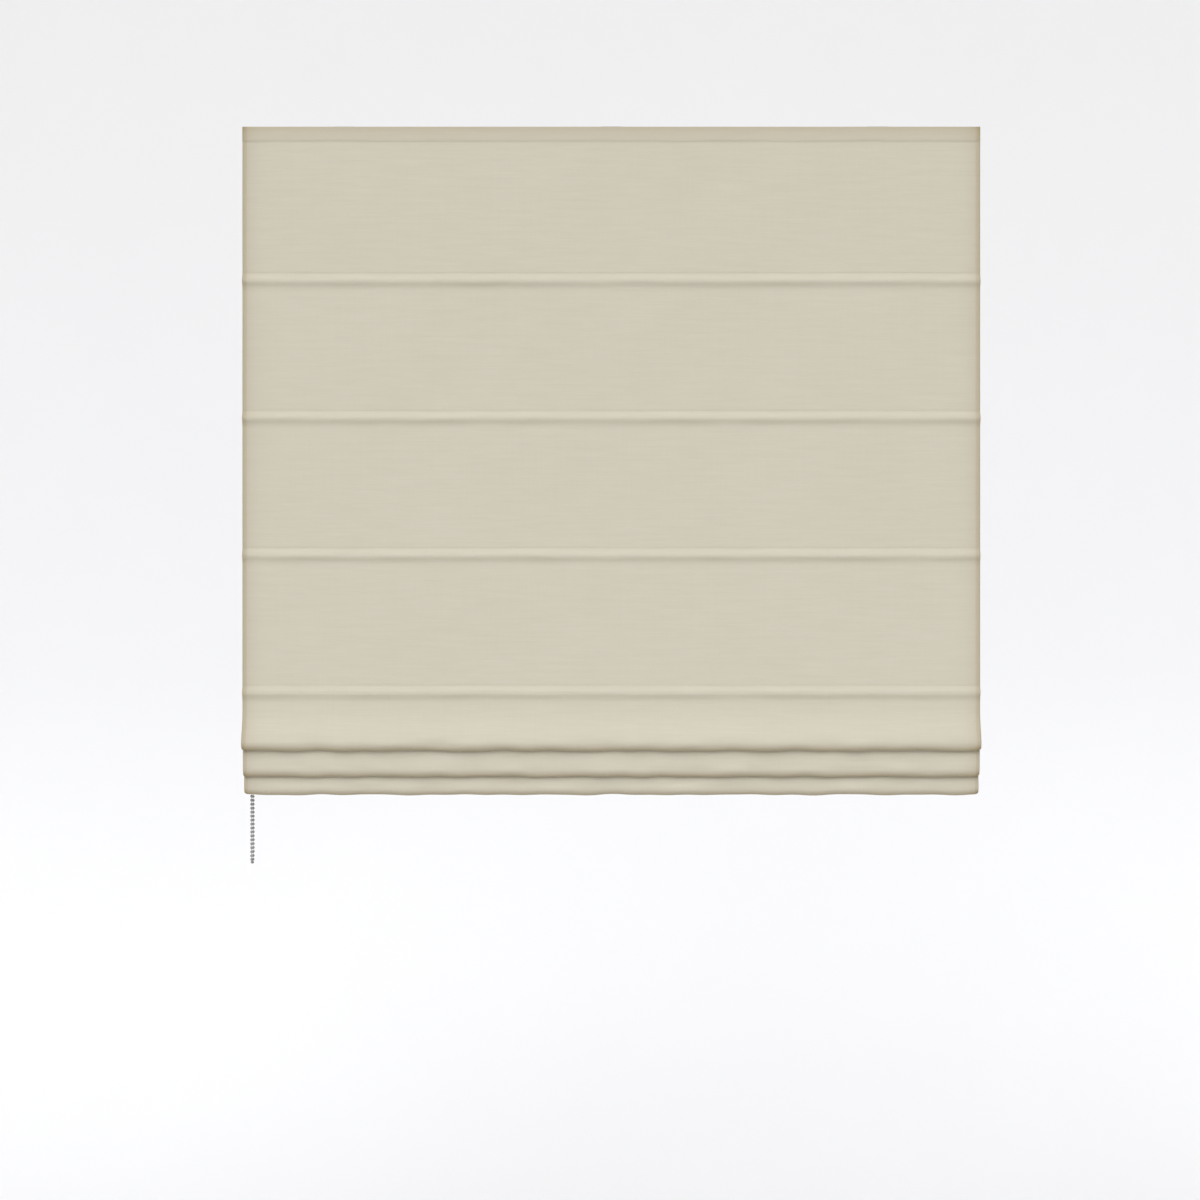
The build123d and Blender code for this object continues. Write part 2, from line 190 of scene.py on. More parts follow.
class Nodes:
    """Adds nodes to a shader or geometry tree."""

    def __init__(self, tree):
        self.tree = tree

    def add(self, kind, settings=None, values=None, output=0):
        """A node of that kind. Its settings come first, then each socket's value or link by name or number."""
        node = self.tree.nodes.new(kind)
        for key, value in (settings or {}).items():
            setattr(node, key, value)
        for key, value in (values or {}).items():
            if isinstance(value, Socket):
                self.tree.links.new(value.socket, node.inputs[key])
            else:
                node.inputs[key].default_value = value
        return Socket(self, node.outputs[output]) if len(node.outputs) else node

    def ramp(self, value, low, high, at_low=0.0, at_high=1.0):
        """A smooth step of a value from one level to another."""
        return self.add("ShaderNodeMapRange", {"interpolation_type": "SMOOTHSTEP"},
                        {0: value, 1: low, 2: high, 3: at_low, 4: at_high})

    def place(self):
        """Where on the piece, in metres."""
        return self.add("ShaderNodeTexCoord").out("Object")

    def noise(self, place, scale, detail=2.0, roughness=0.5):
        """Noise from 0 to 1, its scale in features to the metre."""
        return self.add("ShaderNodeTexNoise", None,
                        {"Vector": place, "Scale": scale, "Detail": detail, "Roughness": roughness})

    def stretched(self, place, scales):
        """Coordinates stretched so that a noise runs along one way."""
        return self.add("ShaderNodeMapping", None, {"Vector": place, "Scale": scales})

    def blend_colours(self, share, first, second):
        """A mix of two colours, each fixed or a socket."""
        first, second = (c if isinstance(c, Socket) else (*c, 1.0) for c in (first, second))
        return self.add("ShaderNodeMix", {"data_type": "RGBA"}, {0: share, 6: first, 7: second}, output=2)

    def shades(self, share, tint, least):
        """A colour that falls to a darker shade of itself where the share is nothing."""
        return self.blend_colours(share, [c * least for c in tint], tint)


def new_material(name, roughness, fixed=None):
    """A material with a Principled shader, its constants set on the sockets themselves."""
    material = bpy.data.materials.new(name)
    material.use_nodes = True
    shader = material.node_tree.nodes["Principled BSDF"]
    shader.inputs["Roughness"].default_value = roughness
    for key, value in (fixed or {}).items():
        shader.inputs[key].default_value = value
    return material, Nodes(material.node_tree), shader


def drive(nodes, shader, colour_of=None, height=None, depth=0.0001, roughness=None):
    """Links what changes over the surface: its colour, its bump and its roughness."""
    links = nodes.tree.links
    if colour_of is not None:
        links.new(colour_of.socket, shader.inputs["Base Color"])
    if height is not None:
        bump = nodes.add("ShaderNodeBump", None, {"Height": height, "Distance": depth, "Strength": 1.0})
        links.new(bump.socket, shader.inputs["Normal"])
    if roughness is not None:
        links.new(roughness.socket, shader.inputs["Roughness"])


# ---------------------------------------------------------------- materials
def cloth_material(sizes):
    """Plain-woven furnishing cloth, with painted shade near its edges and top and under its folds and ridges. Its map
    is in metres: across, and along the cloth.
    """
    material, nodes, shader = new_material("face cloth", 0.92, {"Sheen Weight": 0.12, "Sheen Roughness": 0.5,
                                                                "Specular IOR Level": 0.25})
    place = nodes.add("ShaderNodeUVMap", {"uv_map": "cloth"})
    parts = nodes.add("ShaderNodeSeparateXYZ", None, {0: place})
    across, along = parts, parts.out("Y")
    turn = pi / sizes.thread_pitch
    weave = (across * turn).sine() * (along * turn).sine()
    weft = nodes.noise(nodes.stretched(place, (9.0, 700.0, 1.0)), 1.0, 3.0, 0.6)
    warp = nodes.noise(nodes.stretched(place, (520.0, 5.0, 1.0)), 1.0, 2.0, 0.5)
    slubs = nodes.noise(nodes.stretched(place, (14.0, 160.0, 1.0)), 1.0, 4.0, 0.65)
    clouds = nodes.noise(place, 6.0, 3.0, 0.5)
    from_edge = HALF_WIDTH - across.absolute()
    hem = nodes.ramp(from_edge, sizes.edge_stitch + 2.2 * MM, sizes.edge_stitch + 1.0 * MM)
    header = nodes.ramp(along, sizes.header_drop + 1.5 * MM, sizes.header_drop - 1.5 * MM)
    # painted shade near the edges and the top, and where the hem and the header are doubled and less light comes
    # through
    doubled = from_edge.fading(11 * MM) * 0.38 + from_edge.fading(1.8 * MM) * 0.18 + hem * 0.12
    doubled = doubled + along.fading(7 * MM) * 0.30 + header * 0.10
    # painted shade under the folds and ridges, read from the mesh
    painted_fold_and_ridge_shade = nodes.add("ShaderNodeAttribute", {"attribute_name": "painted fold and ridge shade"}).out("Fac") * 0.7
    tone = 0.80 + (weft - 0.5) * 0.50 + (warp - 0.5) * 0.16 + (slubs - 0.5) * 0.65 + (clouds - 0.5) * 0.25
    # a little painted highlight on the raised threads and painted shade between them
    tone = tone + weave * 0.05
    height = weave * 0.5 + weft * 0.8 + slubs * 0.8
    plain = nodes.blend_colours(tone, sizes.dark, sizes.light)
    drive(nodes, shader, nodes.blend_colours(doubled + painted_fold_and_ridge_shade, plain, sizes.doubled), height, 0.16 * MM)
    return material


def thread_material(sizes):
    """Twisted sewing thread."""
    material, nodes, shader = new_material("sewing thread", 0.75, {"Sheen Weight": 0.1})
    place = nodes.place()
    twist = nodes.noise(nodes.stretched(place, (2600.0, 900.0, 2600.0)), 1.0, 2.0)
    drive(nodes, shader, nodes.shades(twist, sizes.thread, 0.86), twist, 0.05 * MM)
    return material


def braid_material(sizes):
    """Braided polyester cord: two sets of strands that cross, on a map of turns and metres."""
    material, nodes, shader = new_material("braided cord", 0.6, {"Sheen Weight": 0.15})
    parts = nodes.add("ShaderNodeSeparateXYZ", None, {0: nodes.add("ShaderNodeUVMap", {"uv_map": "cloth"})})
    around, along = parts * (2 * pi * 4), parts.out("Y") * (2 * pi / (2.4 * MM))
    strands = (around + along).sine() * (around - along).sine()
    # the colour darkens where the strands dip: painted shade between the strands
    drive(nodes, shader, nodes.shades(strands * 0.5 + 0.5, sizes.cord_colour, 0.78), strands, 0.12 * MM)
    return material


def bead_material(sizes):
    """Grey moulded beads, faintly uneven."""
    material, nodes, shader = new_material("chain beads", 0.3, {"Coat Weight": 0.15})
    place = nodes.place()
    mottle = nodes.noise(place, 420.0, 2.0)
    drive(nodes, shader, nodes.shades(mottle, sizes.bead_colour, 0.82), mottle, 0.03 * MM, mottle * 0.2 + 0.22)
    return material


def powder_material(tint):
    """Powder coat: a fine orange peel and a little dust on top."""
    material, nodes, shader = new_material("powder coat", 0.42)
    place = nodes.place()
    peel, dust = nodes.noise(place, 900.0, 2.0), nodes.noise(place, 22.0, 4.0, 0.6)
    drive(nodes, shader, nodes.shades(nodes.ramp(dust, 0.35, 0.62), tint, 0.96), peel, 0.05 * MM, dust * 0.2 + 0.32)
    return material


def metal_material(name, tint, grain):
    """Rolled or drawn metal with a grain along one way."""
    material, nodes, shader = new_material(name, 0.35, {"Metallic": 1.0})
    place = nodes.place()
    lines, bloom = nodes.noise(nodes.stretched(place, grain), 1.0, 3.0), nodes.noise(place, 60.0, 4.0)
    drive(nodes, shader, nodes.shades(lines * 0.6 + bloom * 0.4, tint, 0.8), lines, 0.02 * MM, bloom * 0.25 + 0.25)
    return material


def moulded_material(name, tint, roughness):
    """Moulded plastic with a lightly sparked surface."""
    material, nodes, shader = new_material(name, roughness, {"Coat Weight": 0.05})
    place = nodes.place()
    spark, flow = nodes.noise(place, 1600.0, 1.0), nodes.noise(place, 70.0, 3.0)
    drive(nodes, shader, nodes.shades(flow, tint, 0.94), spark, 0.04 * MM, flow * 0.15 + roughness - 0.07)
    return material


def fibre_material():
    """White pultruded rod, with fibres along it."""
    material, nodes, shader = new_material("glass fibre rod", 0.4)
    place = nodes.place()
    fibres = nodes.noise(nodes.stretched(place, (8.0, 2200.0, 2200.0)), 1.0, 3.0)
    drive(nodes, shader, nodes.blend_colours(fibres, (0.66, 0.65, 0.60), (0.80, 0.79, 0.74)), fibres, 0.03 * MM)
    return material


def wound_material(tint):
    """Braided cord in turns side by side on its spool, each turn round and a little uneven, with painted shade in the
    grooves between the turns.
    """
    material, nodes, shader = new_material("wound cord", 0.65, {"Sheen Weight": 0.15})
    place = nodes.place()
    wander = nodes.noise(place, 90.0, 2.0)
    parts = nodes.add("ShaderNodeSeparateXYZ", None, {0: place})
    turn = (parts * (pi / (1.4 * MM)) + wander * 1.2).sine().absolute()
    braid = nodes.noise(nodes.stretched(place, (900.0, 2600.0, 2600.0)), 1.0, 3.0)
    # the colour darkens in the grooves between the turns: painted shade
    drive(nodes, shader, nodes.shades(turn * 0.8 + braid * 0.2, tint, 0.5), turn + braid * 0.25, 0.5 * MM)
    return material


def tape_material(name, tint, pile):
    """Woven tape. With pile it is the fuzzy or hooked face of a fastening tape."""
    material, nodes, shader = new_material(name, 0.9, {"Sheen Weight": 0.2})
    place = nodes.place()
    parts = nodes.add("ShaderNodeSeparateXYZ", None, {0: place})
    ribs = (parts * (pi / (0.8 * MM))).sine() * ((parts.out("Z") + parts.out("Y")) * (pi / (0.6 * MM))).sine()
    fuzz = nodes.noise(place, 1500.0 if pile else 300.0, 4.0, 0.7)
    # the fuzz varies the tone at random; the ribs add a little painted shade between them
    drive(nodes, shader, nodes.shades(fuzz * 0.7 + ribs * 0.15 + 0.15, tint, 0.8),
          fuzz * 2.0 if pile else ribs + fuzz, 0.25 * MM if pile else 0.1 * MM)
    return material


def studio_material(tint):
    """Matt backdrop paper."""
    material, nodes, shader = new_material("studio paper", 0.95, {"Specular IOR Level": 0.1})
    place = nodes.place()
    grain = nodes.noise(place, 3.0, 3.0)
    drive(nodes, shader, nodes.shades(grain, tint, 0.985))
    return material


# ---------------------------------------------------------------- meshes
def new_piece(name, points, faces, material, maps=None, smooth=True):
    """A mesh object at the origin, its place in its mesh. maps holds a map point for each vertex."""
    mesh = bpy.data.meshes.new(name)
    mesh.from_pydata([tuple(p) for p in points], [], faces)
    if maps is not None:
        layer = mesh.uv_layers.new(name="cloth")
        corners = np.empty(len(mesh.loops), dtype=np.int64)
        mesh.loops.foreach_get("vertex_index", corners)
        layer.data.foreach_set("uv", np.asarray(maps, dtype=np.float32)[corners].ravel())
    mesh.polygons.foreach_set("use_smooth", [smooth] * len(mesh.polygons))
    mesh.materials.append(material)
    mesh.update()
    piece = bpy.data.objects.new(name, mesh)
    bpy.context.scene.collection.objects.link(piece)
    return piece


def settle(piece):
    """Turns a piece with a live modifier into a plain mesh."""
    bpy.context.view_layer.update()
    graph = bpy.context.evaluated_depsgraph_get()
    mesh = bpy.data.meshes.new_from_object(piece.evaluated_get(graph), preserve_all_data_layers=True, depsgraph=graph)
    piece.modifiers.clear()
    piece.data = mesh
    return piece


def waves(seed, longest, shortest, count=6):
    """A smooth uneven wave along X, between about -1 and 1, the same at each run."""
    draw = np.random.default_rng(seed)
    lengths = np.geomspace(longest, shortest, count)
    phases = draw.uniform(0, 2 * pi, count)
    shares = draw.uniform(0.6, 1.0, count)

    def wave(x):
        total = sum(a * np.sin(2 * pi * x / w + p) for a, w, p in zip(shares, lengths, phases))
        return total / (0.55 * count)

    return wave


def bell(distance, width):
    """One at no distance, fading smoothly away on both sides."""
    return np.exp(-(distance / width) ** 2)


def keep_for(anchor, level):
    """The share of its height that a piece keeps when its lower end, at that level, rises with the stack."""
    return 1 - TRAVEL / (anchor - level)


# ---------------------------------------------------------------- the cloth
def ridge_swell(height, sizes):
    """How far a ridge stands forward at a height above its crest, or below it where negative."""
    above = np.cos(pi / 2 * np.clip(height / sizes.ridge_stitch, 0, 1)) ** 2
    below = np.exp(-0.5 * (np.minimum(height, 0) / sizes.ridge_fall) ** 2)
    return sizes.ridge * np.where(height >= 0, above, below)


def corner_cut(points, times):
    """Rounds a path by cutting each corner at its quarters, again and again."""
    points = np.asarray(points, dtype=float)
    for _ in range(times):
        first, last = points[:-1], points[1:]
        cut = np.empty((2 * len(first), 2))
        cut[0::2] = 0.75 * first + 0.25 * last
        cut[1::2] = 0.25 * first + 0.75 * last
        points = np.vstack([points[:1], cut, points[-1:]])
    return points


def evenly(points, step):
    """The same path with points a step apart."""
    along = np.concatenate([[0], np.cumsum(np.linalg.norm(np.diff(points, axis=0), axis=1))])
    at = np.linspace(0, along[-1], int(along[-1] / step) + 1)
    return np.stack([np.interp(at, along, points[:, k]) for k in range(2)], axis=1)


def fold_path(sizes):
    """The hanging plane of the cloth, and the path of the gathered cloth below the last crest, as (y, z)."""
    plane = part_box("headrail")[0].y - sizes.tape_depth - sizes.thickness / 2
    first_rib, second_rib = (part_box(f"rib_pocket_{n}")[0].z - 0.6 * MM for n in STACK_RIBS)
    third = CLOTH_LOW.z - 0.4 * MM
    first, second = third + 68.5 * MM, third + 28.6 * MM
    crest = CRESTS[-1]

    def run(level, *places):
        """Points behind the hanging plane (in front where negative) and above a level, in millimetres."""
        return [(plane + y * MM, level + z * MM) for y, z in places]

    def over(rib):
        """Points over a rib, in its pocket."""
        return [(RIB_Y - 1.7 * MM, rib), (RIB_Y + 1.7 * MM, rib)]

    points = [
        *run(crest, (0, 0), (0, -9)),
        # the first fold stands furthest forward
        *run(first, (-0.2, 66), (-1.0, 54), (-3.9, 42), (-8.7, 31.5), (-13.4, 22)),
        *loop_under(plane, first, -16.2, -7.4, -4.4, 13),
        *run(first_rib, (-5.0, -22)), *over(first_rib), *run(first_rib, (-0.8, -15), (-2.6, -34)),
        # the second fold hangs from the fifth rib
        *run(first, (-3.0, 2), (-3.2, -10)),
        *loop_under(plane, second, -3.4, 4.8, 7.6, 12.5),
        *run(second_rib, (8.0, -40)), *over(second_rib), *run(second_rib, (11.6, -27), (10.8, -50)),
        # the third fold hangs from the sixth rib, and turns up to the hem round the bottom bar
        *run(second, (9.0, 3), (8.4, -8)),
        *loop_under(plane, third, 8.2, 18.0, 37.0, 10),
        *run(third, (36.0, 39)),
        *hem_round_bar(),
    ]
    return plane, evenly(corner_cut(points, 4), ROW)


def loop_under(plane, bottom, front, low, back, rise):
    """The soft loop in which a fold turns back up. Its y are in millimetres from the hanging plane."""
    points = []
    # from level at the front, under the lowest point at 90 degrees, to level at the back
    for degrees in (0, 25, 50, 72, 90, 108, 130, 155, 180):
        angle = radians(degrees)
        half = low - front if degrees < 90 else back - low
        points.append((plane + (low - half * cos(angle)) * MM, bottom + rise * MM * (1 - sin(angle))))
    return points


def hem_round_bar():
    """The cloth's path up the back of the bottom bar and down its front, with its own room round the bar."""
    room = 0.8 * MM
    front, back = BAR_LOW.y - room, BAR_HIGH.y + room
    top, foot = BAR_HIGH.z + room, BAR_LOW.z - 2.5 * MM
    return [(back, foot - 1.5 * MM), (back, top), (front, top), (front, foot)]


def field_heights(sizes):
    """The rows of the hanging field, from the top to the last crest, close together where it bends."""
    bends = [CLOTH_TOP - sizes.header_drop, *CRESTS]
    hair = 0.001 * MM
    rows, z = [CLOTH_TOP], CLOTH_TOP
    while z > CRESTS[-1] + hair:
        near = min(abs(z - bend) for bend in bends)
        step = 0.9 * MM if near < 7 * MM else 2.0 * MM if near < 22 * MM else 8.0 * MM
        next_crest = max(crest for crest in CRESTS if crest < z - hair)
        z = max(z - step, next_crest)
        rows.append(z)
    return np.array(rows)


def columns(sizes):
    """The columns across the cloth, close together at the side hems."""
    # distances in from the edge, closest together at its stitching
    edge = np.array([0, 0.4, 1.0, 2.2, 3.6, 4.3, 5.0, 5.7, 6.4, 9.0, 14.0, 20.0]) * MM
    hem = [sizes.side_hem - 0.8 * MM, sizes.side_hem]
    side = HALF_WIDTH - np.concatenate([edge, hem])
    inner = np.linspace(0, side[-1], 59)[:-1]
    right = np.unique(np.concatenate([inner, side]).round(6))
    return np.concatenate([-right[:0:-1], right])


def cloth_grid(sizes):
    """The middle surface of the whole cloth, as rows of points across it.

    Also the row of the last crest, the header's extra thickness, and a mask of painted shade where the cloth turns
    under at the folds and below the ridges.
    """
    x = columns(sizes)
    plane, folds = fold_path(sizes)
    heights = field_heights(sizes)
    split = len(heights) - 1
    z = np.concatenate([heights, folds[1:, 1]])[:, None] + 0 * x
    y = np.concatenate([np.full(len(heights), plane), folds[1:, 0]])[:, None] + 0 * x
    row = np.arange(len(z))[:, None]
    on_field, before_folds = row <= split, row <= split + int(40 * MM / ROW)
    forward, lift, painted_ridge_shade = np.zeros_like(z), np.zeros_like(z), np.zeros_like(z)
    for number, crest in enumerate(CRESTS):
        height = z - crest + 0.8 * MM
        reach = before_folds if number == len(CRESTS) - 1 else on_field
        firmness = 1 + 0.18 * waves(40 + number, 0.5, 0.12)(x)
        crest_wave = 0.45 * MM * waves(60 + number, 0.42, 0.07)(x)
        stitch_dip = 0.25 * MM * bell(height - sizes.ridge_stitch, 1.3 * MM)
        forward += ridge_swell(height, sizes) * firmness * reach - stitch_dip * on_field
        lift += crest_wave * bell(height, 14 * MM) * reach
        # painted shade below each ridge's crest
        painted_ridge_shade = np.maximum(painted_ridge_shade, 0.08 * bell(height + sizes.ridge_fall, 3.5 * MM) * firmness * reach)
    header = CLOTH_TOP - sizes.header_drop
    header_wave = 0.6 * MM * waves(70, 0.4, 0.08)(x)
    lift += header_wave * bell(z - header, 10 * MM) * on_field
    doubled = sizes.header_step * (0.5 + 0.5 * np.tanh((z - header) / (2.2 * MM))) * on_field
    # the slack between the ridges ripples a little
    hang = waves(80, 0.9, 0.2)(x) * np.sin(z * 2 * pi / 0.206 + 0.4) + waves(81, 0.6, 0.15)(x + 0.7 * z)
    y -= forward + doubled + 0.22 * MM * hang * on_field
    y, z, under = wave_folds(x, y, z, split, sizes)
    from_edge = HALF_WIDTH - np.abs(x)
    side_dip = 0.22 * MM * bell(from_edge - sizes.edge_stitch, 0.9 * MM)
    rounded_edge = 0.5 * MM * np.clip((MM - from_edge) / MM, 0, 1) ** 2
    narrowing = 1 - 0.002 * np.clip((row - split) * ROW / 0.25, 0, 1)
    grid = np.stack([x * narrowing, y + side_dip + rounded_edge, z + lift], axis=2)
    return grid, split, doubled, np.maximum(under, painted_ridge_shade)


def wave_folds(x, y, z, split, sizes):
    """Lets the bottom and the front of each fold run in uneven waves, and gives a mask of painted shade where the
    cloth turns under at each fold's bottom.
    """
    mean_z = z[:, len(x) // 2]
    row = np.arange(len(z))[:, None]
    below = row > split
    corner_lift = 1.6 * MM * np.clip((np.abs(x) - HALF_WIDTH + 5 * MM) / (5 * MM), 0, 1) ** 2
    under = np.zeros_like(z)
    for number, lowest_row in enumerate(fold_rows(mean_z, split)):
        distance = (row - lowest_row) * ROW
        sway = 0.8 * sizes.fold_wave * waves(10 + number, 0.19, 0.055)(x)
        swell = 1.6 * sizes.fold_wave * waves(20 + number, 0.26, 0.065)(x)
        z = z + (sway * bell(distance, 20 * MM) + corner_lift * bell(distance, 9 * MM)) * below
        y = y + swell * bell(distance + 12 * MM, 9 * MM) * below
        # painted shade round each fold's lowest row
        under = np.maximum(under, bell(distance, 10 * MM) * below)
    return y, z, under


def fold_rows(mean_z, split):
    """The row of each fold's lowest point."""
    inner = range(split + 2, len(mean_z) - 2)
    low = [i for i in inner if mean_z[i] < mean_z[i - 1] and mean_z[i] <= mean_z[i + 1]]
    return low[:3]


def grid_normals(grid):
    """The way the front of the cloth faces at each point."""
    normal = np.cross(np.gradient(grid, axis=0), np.gradient(grid, axis=1))
    return normal / np.linalg.norm(normal, axis=2, keepdims=True)


def shell(name, grid, normals, along, doubled, first, last, sizes, material):
    """A closed cloth of real thickness over the rows from first to last, with its hems thicker behind."""
    centre, out = grid[first:last + 1], normals[first:last + 1]
    rows, count = centre.shape[:2]
    x = centre[:, :, 0]
    hem = np.clip((np.abs(x) - HALF_WIDTH + sizes.side_hem) / (0.8 * MM), 0, 1)
    front = centre + out * sizes.thickness / 2
    back = centre - out * (sizes.thickness / 2 + 0.35 * MM * hem + doubled[first:last + 1])[:, :, None]
    points = np.concatenate([front.reshape(-1, 3), back.reshape(-1, 3)])
    faces = []
    total = rows * count
    for i in range(rows - 1):
        for j in range(count - 1):
            a, b, c, d = i * count + j, (i + 1) * count + j, (i + 1) * count + j + 1, i * count + j + 1
            faces.append((a, b, c, d))
            faces.append((d + total, c + total, b + total, a + total))
    for i in range(rows - 1):
        for j, turned in ((0, False), (count - 1, True)):
            a, b = i * count + j, (i + 1) * count + j
            side = (a, a + total, b + total, b)
            faces.append(side[::-1] if turned else side)
    for i, turned in ((0, True), (rows - 1, False)):
        for j in range(count - 1):
            a, b = i * count + j, i * count + j + 1
            end = (a, a + total, b + total, b)
            faces.append(end[::-1] if turned else end)
    maps = np.stack([x, along[first:last + 1, None] + 0 * x], axis=2).reshape(-1, 2)
    return new_piece(name, points, faces, material, np.concatenate([maps, maps]))


def make_cloth(sizes):
    """Builds the hanging field and the gathered folds, and returns what the stitching follows."""
    grid, split, doubled, under = cloth_grid(sizes)
    normals = grid_normals(grid)
    mid = grid[:, grid.shape[1] // 2]
    along = np.concatenate([[0], np.cumsum(np.linalg.norm(np.diff(mid, axis=0), axis=1))])
    material = cloth_material(sizes)
    field = shell("face_cloth_field", grid, normals, along, doubled, 0, split, sizes, material)
    folds = shell("face_cloth_folds", grid, normals, along, doubled, split, len(grid) - 1, sizes, material)
    # the mask of painted shade under the folds and ridges, on the front and back of each piece
    for piece, rows in ((field, under[:split + 1]), (folds, under[split:])):
        layer = piece.data.attributes.new("painted fold and ridge shade", "FLOAT", "POINT")
        layer.data.foreach_set("value", np.tile(rows.ravel(), 2).astype(np.float32))
    return field, folds, grid, normals, along, split


# ---------------------------------------------------------------- cords
def smooth_line(points):
    """The points of a smooth line that has a cord's route points as its control points."""
    data = bpy.data.curves.new("route", "CURVE")
    data.dimensions, data.resolution_u = "3D", 24
    spline = data.splines.new("NURBS")
    spline.points.add(len(points) - 1)
    for point, place in zip(spline.points, points):
        point.co = (*place, 1.0)
    spline.order_u = 3
    spline.use_endpoint_u = True
    curve = bpy.data.objects.new("route", data)
    bpy.context.scene.collection.objects.link(curve)
    mesh = bpy.data.meshes.new_from_object(curve)
    line = [tuple(vertex.co) for vertex in mesh.vertices]
    bpy.data.objects.remove(curve)
    return line


def tube(line, radius, sides=10, closed=False):
    """The points, faces and map (turns, metres) of a round tube along a line."""
    line = [Vector(p) for p in line]
    count = len(line)
    points, maps, faces, run = [], [], [], 0.0
    lean = Vector((0.31, 0.95, 0.05))  # a way that no cord runs along, so the rings don't turn over
    for i, here in enumerate(line):
        before = line[i - 1] if i or closed else here
        after = line[(i + 1) % count] if i < count - 1 or closed else here
        ahead = (after - before).normalized()
        side = ahead.cross(lean).normalized()
        up = side.cross(ahead)
        run += (here - line[i - 1]).length if i else 0.0
        for k in range(sides):
            angle = 2 * pi * k / sides
            points.append(tuple(here + radius * (cos(angle) * side + sin(angle) * up)))
            maps.append((k / sides, run))
    for i in range(count if closed else count - 1):
        for k in range(sides):
            a, b = i * sides + k, i * sides + (k + 1) % sides
            c, d = (b + sides) % (count * sides), (a + sides) % (count * sides)
            faces.append((a, b, c, d))
    if not closed:
        faces.append(tuple(range(sides - 1, -1, -1)))
        faces.append(tuple((count - 1) * sides + k for k in range(sides)))
    return points, faces, maps


# ---------------------------------------------------------------- geometry trees for what repeats
def new_tree(name, inputs):
    """A geometry tree with a mesh in and out and named inputs, its lines already turned to a curve."""
    tree = bpy.data.node_groups.new(name, "GeometryNodeTree")
    tree.interface.new_socket("Lines", in_out="INPUT", socket_type="NodeSocketGeometry")
    for label, kind, default in inputs:
        socket = tree.interface.new_socket(label, in_out="INPUT", socket_type=kind)
        if default is not None:
            socket.default_value = default
    tree.interface.new_socket("Mesh", in_out="OUTPUT", socket_type="NodeSocketGeometry")
    nodes = Nodes(tree)
    given = nodes.add("NodeGroupInput")
    curve = nodes.add("GeometryNodeMeshToCurve", None, {"Mesh": given})
    return tree, nodes, given, curve


def close_tree(nodes, geometry, given, selection=True):
    """Ends a tree in a real mesh with its material."""
    realized = nodes.add("GeometryNodeRealizeInstances", None, {"Geometry": geometry})
    done = nodes.add("GeometryNodeSetMaterial", None,
                     {"Geometry": realized, "Selection": selection, "Material": given.out("Material")})
    nodes.add("NodeGroupOutput", None, {0: done})


def smoothed(nodes, mesh):
    """A mesh that is shaded smooth."""
    return nodes.add("GeometryNodeSetShadeSmooth", None, {"Geometry": mesh})


def stitch_tree():
    """Stitches along lines: a flattened bead of thread at each pitch, turned along its line."""
    tree, nodes, given, curve = new_tree("stitches", [
        ("Pitch", "NodeSocketFloat", 4 * MM), ("Length", "NodeSocketFloat", 3 * MM),
        ("Thickness", "NodeSocketFloat", 0.5 * MM), ("Seed", "NodeSocketInt", 7),
        ("Material", "NodeSocketMaterial", None)])
    points = nodes.add("GeometryNodeResampleCurve", {"mode": "LENGTH"}, {"Curve": curve, "Length": given.out("Pitch")})
    ball = nodes.add("GeometryNodeMeshUVSphere", None, {"Segments": 6, "Rings": 5, "Radius": 0.5})
    turned = nodes.add("FunctionNodeAlignRotationToVector", {"axis": "X"},
                       {"Vector": nodes.add("GeometryNodeInputTangent")})
    size = nodes.add("ShaderNodeCombineXYZ", None,
                     {0: given.out("Length"), 1: given.out("Thickness"), 2: given.out("Thickness")})
    uneven = nodes.add("FunctionNodeRandomValue", {"data_type": "FLOAT"},
                       {2: 0.88, 3: 1.1, "Seed": given.out("Seed")}, output=1)
    scale = nodes.add("ShaderNodeVectorMath", {"operation": "SCALE"}, {0: size, "Scale": uneven})
    stitches = nodes.add("GeometryNodeInstanceOnPoints", None,
                         {"Points": points, "Instance": smoothed(nodes, ball), "Rotation": turned, "Scale": scale})
    close_tree(nodes, stitches, given)
    return tree


